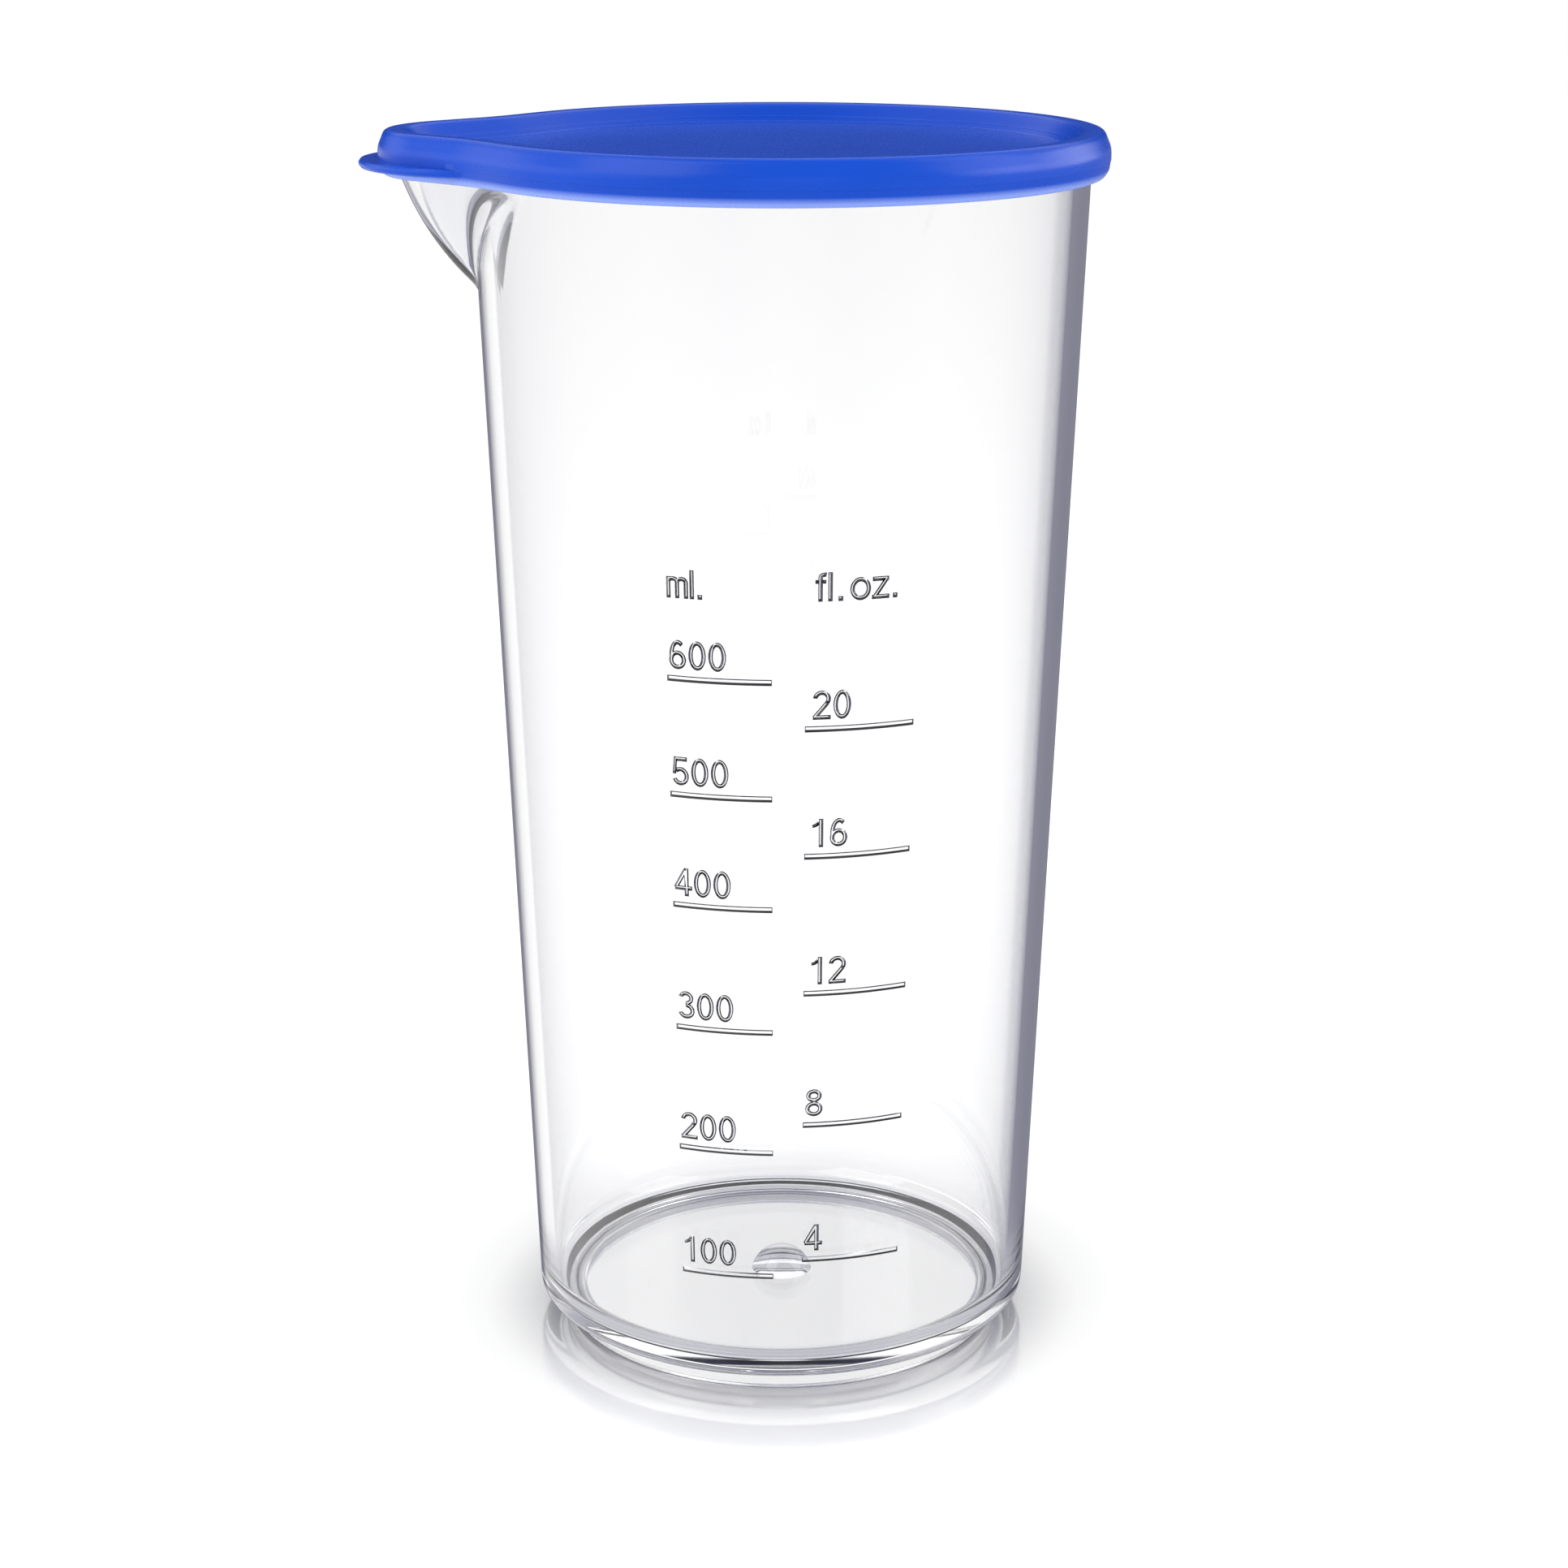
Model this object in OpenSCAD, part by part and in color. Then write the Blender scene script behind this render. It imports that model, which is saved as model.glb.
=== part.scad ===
// Measuring and mixing beaker with a pouring spout and a press-on lid.
// The beaker is one clear moulding: foot, wall, spout, rim bead and raised scale.
// The lid is one soft moulding: recessed panel, bead, skirt, spout cover and pull tab.
// Millimetres. +Z is up, the spout points to -X and the scale faces -Y. The origin is on
// the axis, in the plane that the foot stands on.

/* [Beaker] */
// Height of the rim
rim_z = 193.2; // [192:0.2:195]
// Outer radius of the wall, carried down to the table
wall_base_r = 40.46; // [39:0.02:41]
// Growth of the wall's radius for each millimetre of height
wall_slope = 0.0386; // [0.036:0.0002:0.0386]
// Thickness of the wall
wall_t = 2.6; // [2.3:0.1:2.8]
// Height of the floor's upper face
floor_z = 5.2; // [4.8:0.1:6]
// Radius of the flat part of the floor
floor_r = 33.2; // [30:0.1:34]
// Height by which the rim bead stands out of the wall
rim_bead = 1.0; // [0.6:0.1:1]

/* [Foot] */
// Outer radius of the ring that the beaker stands on
foot_r = 36; // [34:0.1:38]
// Width of the ring
foot_w = 2.2; // [1.5:0.1:3]
// Height of the step between the ring and the wall
foot_h = 3.6; // [2.4:0.1:3.8]
// Depth of the hollow under the floor, inside the ring
foot_hollow = 2.2; // [1:0.1:2.4]
// Radius of the dome at the middle of the floor
dome_r = 5.0; // [4:0.1:6]
// Height of the dome
dome_h = 3.8; // [1:0.1:4]

/* [Spout] */
// Half of the angle between the spout's sides, seen from above
spout_half_angle = 41.6; // [40:0.1:43]
// Distance from the axis to the centre of the spout's round tip
spout_centre = 43.6; // [43:0.1:44]
// Radius of the arc that the keel follows, seen from the side
keel_r = 43.1; // [42.5:0.1:43.5]
// Distance from the axis to the centre of the keel's arc
keel_x = 18.1; // [17.8:0.1:18.3]
// Height of the centre of the keel's arc
keel_z = 202.6; // [202:0.1:203]
// Thickness of the spout's wall
spout_t = 2.2; // [1.6:0.1:2.4]

/* [Scale] */
// Height of each millilitre line, 100 ml first
ml_z = [21.9, 43.0, 63.1, 83.1, 100.7, 118.8]; // [18:0.1:122]
// Height of each fluid ounce line, 4 fl.oz. first
oz_z = [24.8, 47.7, 69.5, 91.6, 111.6]; // [18:0.1:122]
// Start of the millilitre lines, in degrees from the front towards +X
ml_start = -22; // [-26:0.1:-18]
// End of the millilitre lines
ml_end = -1.7; // [-4:0.1:0]
// Start of the fluid ounce lines
oz_start = 4.5; // [2:0.1:7]
// End of the fluid ounce lines
oz_end = 26.2; // [24:0.1:30]
// Height of a line
line_h = 0.95; // [0.6:0.05:1.2]
// How far the lines and figures stand out of the wall
raise = 0.3; // [0.2:0.05:0.6]
// Height of a millilitre figure
ml_figure = 4.5; // [3.5:0.1:5]
// Height of a fluid ounce figure
oz_figure = 4.5; // [3.5:0.1:5]
// Height at which the unit names start
unit_z = 131.1; // [126:0.1:140]

/* [Lid] */
// Largest outer radius of the lid's bead
lid_r = 50.7; // [50.7:0.1:52]
// Radius of the lid's round tip over the spout
lid_tip_r = 18.5; // [18.5:0.1:19.5]
// Height of the crest above the rim
crest_up = 2.2; // [2:0.1:3]
// Depth of the panel below the crest
panel_drop = 2.8; // [2:0.1:3]
// Thickness of the panel
panel_t = 1.3; // [1:0.1:1.6]
// How far the skirt hangs below the rim
skirt_drop = 4.7; // [4.6:0.1:6]
// Radius of the pull tab round the lid's tip
tab_r = 21.5; // [20.5:0.1:24]
// Thickness of the pull tab
tab_t = 1.2; // [1:0.1:1.6]

/* [Hidden] */

clear_plastic = [0.93, 0.94, 0.96, 0.45];
blue_plastic = [0.07, 0.27, 0.78];

// Overlap that joins two solids of one moulding.
eps = 0.4;
// Corner of the wall above the foot, and of the fillet inside.
corner_r = 2.2;
floor_fillet = 4.8;
// Height of the rim bead.
bead_h = 2.6;
// Radius of the concave blend between the wall and the spout's sides.
blend_r = 22;
// The spout's round tip shrinks towards the bottom of the keel.
tip_least_r = 1;
tip_growth = 15.3;
tip_power = 1.4;
keel_foot_z = 171;
// Distance from the axis at which the spout's solids start, inside the wall.
spout_back = 38;
// Gap between the beaker and the lid.
lid_gap = 0.3;
// Chamfer on the rim.
rim_corner = 0.6;
// Widths and heights of the rounds on the lid's bead: inwards, outwards and at the lip.
crest_in = [2.3, 0.8];
crest_out = [2.5, 3.5];
lip_round = [1.3, 3];
// Gap beside the rim bead and the overlap that holds the lid under it.
bead_gap = 0.25;
bead_grip = 0.15;
// How far the lid's plug reaches down inside the rim, and its thickness.
plug_drop = 2.3;
plug_t = 1.1;
// Round where the panel meets the crest.
panel_round = 0.8;
// Height of the pull tab above the skirt's lip.
tab_up = 1.2;
// Figures: stroke, width and pitch as shares of their height.
stroke = 0.155;
figure_w = 0.6;
pitch = 0.68;
one_pitch = 0.6;
// Gap between a line's centre and the foot of its figures.
figure_up = 1.45;
// Gaps between the start of a line and its figures, in degrees.
ml_inset = 0.5;
oz_inset = 1.5;
one_figure_inset = 0.5;
// Height of the figures of the unit names.
unit_figure = 4.4;

function wall_r(z) = wall_base_r + wall_slope * z;
wall_tilt = atan(wall_slope);

// ---------------------------------------------------------------- outlines

// Points on an arc about c from angle a to angle b, both ends included.
function arc(c, r, a, b, n) =
    [for (i = [0:n]) let (t = a + (b - a) * i / n) c + r * [cos(t), sin(t)]];

// The outline of rim and lid: a circle that blends into a round-tipped spout at -X.
// r is the circle's radius and tip the tip's; wider outlines have smaller blends.
function spout_outline(r, tip, blend) =
    let (n = 90 + spout_half_angle,
         d = spout_centre * sin(spout_half_angle) + tip,
         along = sqrt(pow(r + blend, 2) - pow(d + blend, 2)),
         c = (d + blend) * [cos(n), sin(n)] + along * [cos(n + 90), sin(n + 90)],
         a = atan2(c.y, c.x))
    concat(
        arc([0, 0], r, -a, a, 84),
        arc(c, blend, a + 180, n + 180, 6),
        arc([-spout_centre, 0], tip, n, 360 - n, 20),
        arc([c.x, -c.y], blend, 180 - n, 180 - a, 6));

// The outline of the lid, moved inwards by k.
function lid_outline(k) = spout_outline(lid_r - k, lid_tip_r - k, blend_r + k);

// A closed skin over rings of equal length: flat ends and two triangles a side.
module skin(rings) {
    n = len(rings[0]);
    m = len(rings);
    points = [for (ring = rings) each ring];
    sides = [for (j = [0:m - 2], i = [0:n - 1])
        let (a = j * n + i, b = j * n + (i + 1) % n)
        each [[a, b, b + n], [a, b + n, a + n]]];
    bottom = [for (i = [0:n - 1]) i];
    top = [for (i = [n - 1:-1:0]) (m - 1) * n + i];
    polyhedron(points, [for (f = concat([bottom], [top], sides)) [for (i = [len(f) - 1:-1:0]) f[i]]]);
}

function lift(outline, z) = [for (p = outline) [p.x, p.y, z]];

// ---------------------------------------------------------------- beaker

// Half section of the wall, floor and foot, with the inside left full.
module outer_section() {
    rim_r = wall_r(rim_z);
    corner_z = foot_h + corner_r;
    polygon(concat(
        [[0, foot_hollow], [foot_r - foot_w, foot_hollow], [foot_r - foot_w, 0], [foot_r, 0]],
        [[foot_r, foot_h]],
        arc([wall_r(corner_z) - corner_r, corner_z], corner_r, -90, 0, 6),
        [[wall_r(rim_z - bead_h - rim_bead), rim_z - bead_h - rim_bead]],
        [[rim_r + rim_bead, rim_z - bead_h], [rim_r + rim_bead, rim_z - rim_corner]],
        [[rim_r + rim_bead - rim_corner, rim_z], [0, rim_z]]));
}

// Half section of the space inside, from the floor to just above the rim.
module inner_section() {
    over = rim_z + eps;
    fillet_z = floor_z + floor_fillet;
    fillet_r = wall_r(fillet_z) - wall_t - floor_r;
    polygon([
        [0, floor_z],
        [floor_r, floor_z],
        for (t = [15:15:75]) [floor_r + fillet_r * sin(t), fillet_z - floor_fillet * cos(t)],
        [wall_r(fillet_z) - wall_t, fillet_z],
        [wall_r(over) - wall_t, over],
        [0, over]]);
}

// Cap of a sphere with base radius r and height h, standing on the plane z = 0.
module dome(r, h) {
    ball = (r * r + h * h) / (2 * h);
    intersection() {
        translate([0, 0, h - ball]) sphere(ball, $fn = 64);
        translate([0, 0, -eps]) cylinder(h + 2 * eps, r = 2 * r, $fn = 64);
    }
}

function keel(z, t) = keel_x + sqrt(pow(keel_r - t, 2) - pow(z - keel_z, 2));
function tip_r(z) = tip_least_r
    + tip_growth * pow(max(0, z - keel_foot_z) / (rim_z - keel_foot_z), tip_power);

// Section of the spout at height z, t inside its outer face, closed at x = -back.
function spout_ring(z, t, back) =
    let (n = 90 + spout_half_angle,
         tip = max(0.4, tip_r(z) - t),
         c = keel(z, t) - tip,
         y = (c * sin(spout_half_angle) + tip - back * sin(spout_half_angle))
             / cos(spout_half_angle))
    lift(concat([[-back, max(0.2, y)]], arc([-c, 0], tip, n, 360 - n, 12),
                [[-back, -max(0.2, y)]]), z);

// Spout solid from height a to height b.
module spout_solid(a, b, t, back) {
    levels = 9;
    skin([for (i = [0:levels]) spout_ring(a + (b - a) * i / levels, t, back)]);
}

module beaker() {
    color(clear_plastic) {
        difference() {
            union() {
                rotate_extrude($fn = 128) outer_section();
                spout_solid(keel_foot_z + eps, rim_z, 0, spout_back);
            }
            rotate_extrude($fn = 128) inner_section();
            spout_solid(keel_foot_z + spout_t / 2, rim_z + eps, spout_t, spout_back - 1);
        }
        translate([0, 0, floor_z]) dome(dome_r, dome_h);
        scale_marks();
    }
}

// ---------------------------------------------------------------- scale

module bar(a, b, w = stroke) {
    d = b - a;
    translate(a) rotate(atan2(d.y, d.x)) translate([0, -w / 2]) square([norm(d), w]);
}

// Part of an oval ring that fits a box of the given half sizes, from angle a to angle b.
module bow(c, half, a, b, w = stroke) {
    steps = 12;
    side = [for (i = [0:steps]) let (t = a + (b - a) * i / steps) [cos(t), sin(t)]];
    far = half;
    near = half - [w, w];
    polygon(concat(
        [for (p = side) c + [far.x * p.x, far.y * p.y]],
        [for (i = [steps:-1:0]) c + [near.x * side[i].x, near.y * side[i].y]]));
}

module loop(c, half) {
    bow(c, half, 0, 180);
    bow(c, half, 180, 360);
}

// A figure 1 high, with its foot on y = 0 and its left edge on x = 0. The strokes of each
// figure are placed in shares of its height.
module figure(name) {
    l = stroke / 2;
    m = figure_w / 2;
    if (name == "0") loop([m, 0.5], [m, 0.5]);
    if (name == "1") {
        bar([m, 0], [m, 1]);
        bow([0.02, 1], [0.3, 0.31], -92, -25, 0.12);
    }
    if (name == "2") {
        bow([m, 0.71], [m, 0.29], -38, 175);
        bar([0.07, 0.09], [m + 0.18, 0.575]);
        bar([0, l], [figure_w, l]);
    }
    if (name == "3") {
        bow([m - 0.01, 0.745], [m - 0.03, 0.255], -95, 165);
        bow([m, 0.285], [m, 0.285], -165, 95);
    }
    if (name == "4") {
        bar([0.03, 0.29], [0.4, 0.96]);
        bar([0, 0.29], [0.62, 0.29]);
        bar([0.42, 0], [0.42, 1]);
    }
    if (name == "5") {
        bow([m, 0.325], [m, 0.325], -160, 135);
        bar([0.085, 0.4], [0.14, 1]);
        bar([0.08, 1 - l], [0.54, 1 - l]);
    }
    if (name == "6") {
        loop([m, 0.32], [m, 0.32]);
        bow([m + 0.015, 0.5], [m, 0.5], 35, 190);
    }
    if (name == "8") {
        loop([m, 0.275], [m, 0.275]);
        loop([m, 0.76], [m - 0.03, 0.24]);
    }
    if (name == "m") {
        for (x = [l, 0.39, 0.78 - l]) bar([x, 0], [x, 0.56]);
        for (x = [0.234, 0.546]) bow([x, 0.56], [0.234, 0.19], 0, 180);
        bar([l, 0.5], [l, 0.74]);
    }
    if (name == "l") bar([l, 0], [l, 1]);
    if (name == ".") bar([0, 0.085], [0.17, 0.085], 0.17);
    if (name == "f") {
        bar([0.1 + l, 0], [0.1 + l, 0.84]);
        bow([0.335, 0.82], [0.235, 0.18], 75, 180);
        bar([0, 0.68], [0.37, 0.68]);
    }
    if (name == "o") loop([0.36, 0.39], [0.36, 0.4]);
    if (name == "z") {
        bar([0, l], [0.62, l]);
        bar([0.02, 0.77 - l], [0.6, 0.77 - l]);
        bar([0.09, 0.07], [0.53, 0.7]);
    }
}

// Puts a flat shape on the wall, z up and arc millimetres right of the angle.
module on_wall(angle, z, shift) {
    r = wall_r(z);
    rotate(angle + shift / r * 180 / PI)
        translate([0, -r, z])
            rotate([90 - wall_tilt, 0, 0])
                translate([0, 0, -eps]) linear_extrude(raise + eps) children();
}

// A row of figures. The places are shares of the height from the row's left edge.
module figures(names, places, h, angle, z)
    for (i = [0:len(names) - 1])
        on_wall(angle, z, places[i] * h) scale(h) figure(names[i]);

// Where each figure of a number starts: every "1" before it takes less room.
function places(name) = [for (i = [0:len(name) - 1])
    i * pitch - (pitch - one_pitch) * len([for (j = [0:1:i - 1]) if (name[j] == "1") j])];

module number(name, h, angle, z) figures(name, places(name), h, angle, z);

// One raised line round the wall, from angle a to angle b.
module line(z, a, b) {
    low = z - line_h / 2;
    high = z + line_h / 2;
    rotate(a - 90)
        rotate_extrude(angle = b - a, $fn = 180)
            polygon([
                [wall_r(low) - eps, low],
                [wall_r(low) + raise, low],
                [wall_r(high) + raise, high],
                [wall_r(high) - eps, high]]);
}

module scale_marks() {
    for (i = [0:len(ml_z) - 1]) {
        line(ml_z[i], ml_start, ml_end);
        number(str(100 * (i + 1)), ml_figure, ml_start + ml_inset, ml_z[i] + figure_up);
    }
    for (i = [0:len(oz_z) - 1]) {
        value = 4 * (i + 1);
        inset = value < 10 ? one_figure_inset : oz_inset;
        line(oz_z[i], oz_start, oz_end);
        number(str(value), oz_figure, oz_start + inset, oz_z[i] + figure_up);
    }
    figures("ml.", [0, 0.83, 1.1], unit_figure, ml_start + ml_inset, unit_z);
    figures("fl.oz.", [0, 0.435, 0.78, 1.18, 1.935, 2.68], unit_figure, oz_start + oz_inset,
            unit_z);
}

// ---------------------------------------------------------------- lid

// Quarter of an oval with half sizes size about c, from angle a to angle b.
function quarter(c, size, a, b, n) =
    [for (i = [0:n]) let (t = a + (b - a) * i / n) c + [size.x * cos(t), size.y * sin(t)]];

// Section of the lid as [inward offset, height], from the panel's upper face over
// the crest, down the bead, round the skirt's lip, through the channel that takes
// the rim, round the plug and back under the panel.
function lid_section() =
    let (crest = rim_z + crest_up,
         panel = crest - panel_drop,
         lip = rim_z - skirt_drop,
         channel = rim_z + lid_gap,
         plug = lid_r - (wall_r(rim_z) - wall_t - 2 * lid_gap),
         bead_in = lid_r - (wall_r(rim_z) + rim_bead + bead_gap),
         plug_z = rim_z - plug_drop)
    concat(
        [[plug + panel_round, panel], [plug + panel_round / 2, panel + panel_round / 5]],
        quarter([crest_out.x, crest - crest_in.y], crest_in, 0, 60, 3),
        quarter([crest_out.x, crest - crest_out.y], crest_out, 90, 180, 5),
        quarter([lip_round.x, lip + lip_round.y], lip_round, 180, 270, 4),
        [[bead_in - lid_gap / 2, lip], [bead_in, lip + lid_gap], [bead_in, lip + bead_h / 2],
         [bead_in - bead_grip, lip + 0.8 * bead_h], [bead_in - bead_grip, channel - lid_gap],
         [bead_in + lid_gap, channel], [plug - lid_gap, channel], [plug, channel - lid_gap],
         [plug, plug_z + lid_gap], [plug + lid_gap, plug_z], [plug + plug_t, plug_z],
         [plug + plug_t + lid_gap, panel - panel_t]]);

module lid() {
    tab_z = rim_z - skirt_drop + tab_up;
    color(blue_plastic) {
        skin([for (p = lid_section()) lift(lid_outline(p[0]), p[1])]);
        difference() {
            translate([-spout_centre, 0, tab_z]) cylinder(tab_t, r = tab_r, $fn = 96);
            translate([0, 0, tab_z - eps])
                linear_extrude(tab_t + 2 * eps) polygon(lid_outline(2 * eps));
        }
    }
}

// ---------------------------------------------------------------- assembly

beaker();
lid();
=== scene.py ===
"""Looks of the measuring beaker and its press-on lid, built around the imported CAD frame.

The beaker is one closed clear shell: wall, foot, spout, rim bead and the raised scale share
one skin, so that light bends through it as through a real moulding. The lid is one closed
satin shell with its pull tab. Lengths are in millimetres until a mesh is made, and psi is the
angle round the axis from the middle of the spout.
"""

import math

import bmesh
import bpy
import numpy as np
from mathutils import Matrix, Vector
from mathutils.geometry import delaunay_2d_cdt


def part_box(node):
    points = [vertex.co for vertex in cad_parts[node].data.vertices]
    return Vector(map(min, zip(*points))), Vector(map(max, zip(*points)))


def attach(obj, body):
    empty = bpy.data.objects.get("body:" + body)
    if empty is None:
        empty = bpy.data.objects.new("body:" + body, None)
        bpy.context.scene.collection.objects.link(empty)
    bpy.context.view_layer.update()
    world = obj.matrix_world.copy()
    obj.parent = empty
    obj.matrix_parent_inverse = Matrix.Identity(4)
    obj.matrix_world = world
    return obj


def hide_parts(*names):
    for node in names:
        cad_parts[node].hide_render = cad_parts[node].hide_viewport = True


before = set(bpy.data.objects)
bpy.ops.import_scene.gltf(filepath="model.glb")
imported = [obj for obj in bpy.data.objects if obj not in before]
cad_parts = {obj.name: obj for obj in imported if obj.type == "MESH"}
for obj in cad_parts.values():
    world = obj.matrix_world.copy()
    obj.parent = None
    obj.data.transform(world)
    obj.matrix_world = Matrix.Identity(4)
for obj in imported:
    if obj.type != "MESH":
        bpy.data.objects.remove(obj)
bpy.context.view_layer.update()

MM = 0.001

# ------------------------------------------------------------------ driving dimensions
BEAKER_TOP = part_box("beaker")[1].z / MM
LID_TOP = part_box("lid")[1].z / MM
LID_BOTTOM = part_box("lid")[0].z / MM
LID_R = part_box("lid")[1].x / MM

WALL_BASE_R = 40.46      # outer radius of the wall, carried down to the table
WALL_SLOPE = 0.0386      # how much wider it gets per mm of height
WALL_T = 2.6
FLOOR_Z = 5.2
FLOOR_R = 33.2           # flat part of the floor inside the beaker
FILLET = 4.8             # height of the fillet between floor and wall
FOOT_R = 36.0            # the foot is a ring under the floor
FOOT_W = 2.2
FOOT_H = 3.6
FOOT_HOLLOW = 2.2        # height of the hollow inside the foot ring
FOOT_EDGE = 0.35         # rounding of the foot's lower edges
FOOT_BEND = 0.5          # rounding between the foot and the wall's corner
CORNER_R = 2.2
DOME_R = 5.0             # the low dome in the middle of the floor
DOME_H = 3.8
BEAD = 1.0               # how far the rim bead stands out
BEAD_H = 2.6
BEAD_DIP = 0.6           # share of it that is missing at the spout
RIM_ROUND = 0.7

SPOUT_HALF = math.radians(41.6)   # half the angle between the spout's sides, seen from above
SPOUT_CENTRE = 43.6      # from the axis to the centre of the lid's spout nose
KEEL_R = 43.1            # the keel under the spout is an arc of this radius,
KEEL_X = 18.1            # centred so far from the axis
KEEL_Z = 202.6           # and so high
KEEL_FOOT = 171.0        # where the keel leaves the wall
TIP_START = 1.0          # radius of the spout's nose at the foot of the keel
TIP_GROWTH = 15.3        # what it gains up to the rim
TIP_POWER = 1.4
CREASE_START = 1.2       # rounding between wall and spout at the foot of the keel
CREASE_GROWTH = 3.0      # what it gains up to the rim
SPOUT_T = 2.2

ML_MARKS = {100: 21.9, 200: 43.0, 300: 63.1, 400: 83.1, 500: 100.7, 600: 118.8}
OZ_MARKS = {4: 24.8, 8: 47.7, 12: 69.5, 16: 91.6, 20: 111.6}
ML_LINE = (-22.0, -1.7)  # degrees from the front towards +X
OZ_LINE = (4.5, 26.2)
LINE_H = 0.95
RAISE = 0.30             # how far the marks stand out
LEAN_LOW = 0.50          # how far the raised sides lean in: those that face down,
LEAN_HIGH = 0.08         # those that face up,
LEAN_OUT = 0.42          # those that face the outer end of their column
LEAN_IN = 0.12           # and those that face the gap between the columns
LONGEST_LEAN = 0.75      # the most that a corner's top moves in
CORNER_TURN = 0.5        # sine of the turn above which two sides meet in a corner
FIGURE_H = 4.5
FIGURE_UP = 1.45         # from the middle of a line up to its figures
UNIT_H = 4.4
UNIT_Z = 131.1
SPOUT_ROWS_FROM = 169    # rows of points are close together from here up
PATCH_ROWS = (18, 138)   # the part of the wall that carries the scale: heights
PATCH_COLUMNS = (-25.1, 30.1)     # and degrees

LID_TIP_R = 18.5
LID_BLEND = 2.4          # rounding between the lid's circle and its spout cover
CREST_DROP = 2.8         # from the crest down to the panel
PANEL_T = 1.3
PLUG_GAP = 0.6           # between the lid's plug and the beaker's inside
BEAD_GAP = 0.25          # between the lid's skirt and the rim bead
TAB_R = 21.5
TAB_T = 1.2
TAB_UP = 2.4             # from the lid's lower edge up to the tab's top

POLISH_R = 76.0          # how far from the axis the floor still mirrors the foot
POLISH = 0.44            # share of the light that it mirrors near the foot
CONTACT_R = 11.0         # how far the painted shade round the foot reaches
FLAG_LOW = 0.15          # the black flag behind, as sines of elevation
FLAG_TOP = 0.37


def wall_r(z):
    """Outer radius of the plain wall at height z."""
    return WALL_BASE_R + WALL_SLOPE * z


def smooth_max(a, b, k):
    """The larger of a and b, with a round of size k where they cross."""
    h = np.maximum(k - np.abs(a - b), 0) / k
    return np.maximum(a, b) + h * h * k / 4


def smooth_step(x):
    x = np.clip(x, 0, 1)
    return x * x * (3 - 2 * x)


def spout_reach(psi, centre, tip):
    """Distance from the axis to a round-tipped wedge, psi being the angle from its keel."""
    psi = np.abs(psi)
    line = centre * math.sin(SPOUT_HALF) + tip
    edge = line / np.sin(np.clip(psi + SPOUT_HALF, 0.1, math.pi / 2))
    under = np.maximum(tip ** 2 - (centre * np.sin(psi)) ** 2, 0)
    nose = centre * np.cos(psi) + np.sqrt(under)
    touch = np.arctan2(tip * math.cos(SPOUT_HALF), centre + tip * math.sin(SPOUT_HALF))
    return np.where(psi < touch, nose, edge)


def keel(z, inset):
    """How far the lowest line of the spout is from the axis at height z."""
    return KEEL_X + np.sqrt(np.maximum((KEEL_R - inset) ** 2 - (z - KEEL_Z) ** 2, 1.0))


def spout_share(z):
    """0 at the foot of the keel, 1 at the rim."""
    return np.clip((z - KEEL_FOOT) / (BEAKER_TOP - KEEL_FOOT), 0, 1)


def wall_with_spout(psi, z, inset, wall_inset):
    """Radius of the wall at height z with the spout blended in, inset from the outside."""
    share = spout_share(z)
    tip = np.maximum(TIP_START + TIP_GROWTH * share ** TIP_POWER - inset, 0.5)
    reach = spout_reach(psi, keel(z, inset) - tip, tip)
    return smooth_max(wall_r(z) - wall_inset, reach, CREASE_START + CREASE_GROWTH * share)


# ------------------------------------------------------------------ meshes
def columns():
    """Angles round the axis, from the front towards +X, close together at the spout."""
    fine = [-90 + 0.75 * i for i in range(-60, 61)]
    coarse = [-45 + 1.5 * i for i in range(1, 180)]
    return np.radians(np.array(fine + coarse))


def from_spout(theta):
    """The same angles measured from the middle of the spout, between -pi and pi."""
    return (theta + math.pi / 2 + math.pi) % (2 * math.pi) - math.pi


def ring_points(radius, z, theta):
    """The points of one ring round the axis."""
    radius = np.broadcast_to(radius, theta.shape)
    z = np.broadcast_to(z, theta.shape)
    return np.stack([radius * np.sin(theta), -radius * np.cos(theta), z], axis=1)


def skin_faces(rings, count):
    """Quads between neighbouring rings of count points each."""
    faces = []
    for j in range(rings - 1):
        for i in range(count):
            k = (i + 1) % count
            faces.append((j * count + i, j * count + k, (j + 1) * count + k, (j + 1) * count + i))
    return faces


def close_ends(points, faces, rings, count, start_z, end_z):
    """Closes the first and the last ring with fans to new points on the axis."""
    first_tip = len(points)
    points += [(0, 0, start_z), (0, 0, end_z)]
    last = (rings - 1) * count
    for i in range(count):
        k = (i + 1) % count
        faces.append((k, i, first_tip))
        faces.append((last + i, last + k, first_tip + 1))


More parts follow.
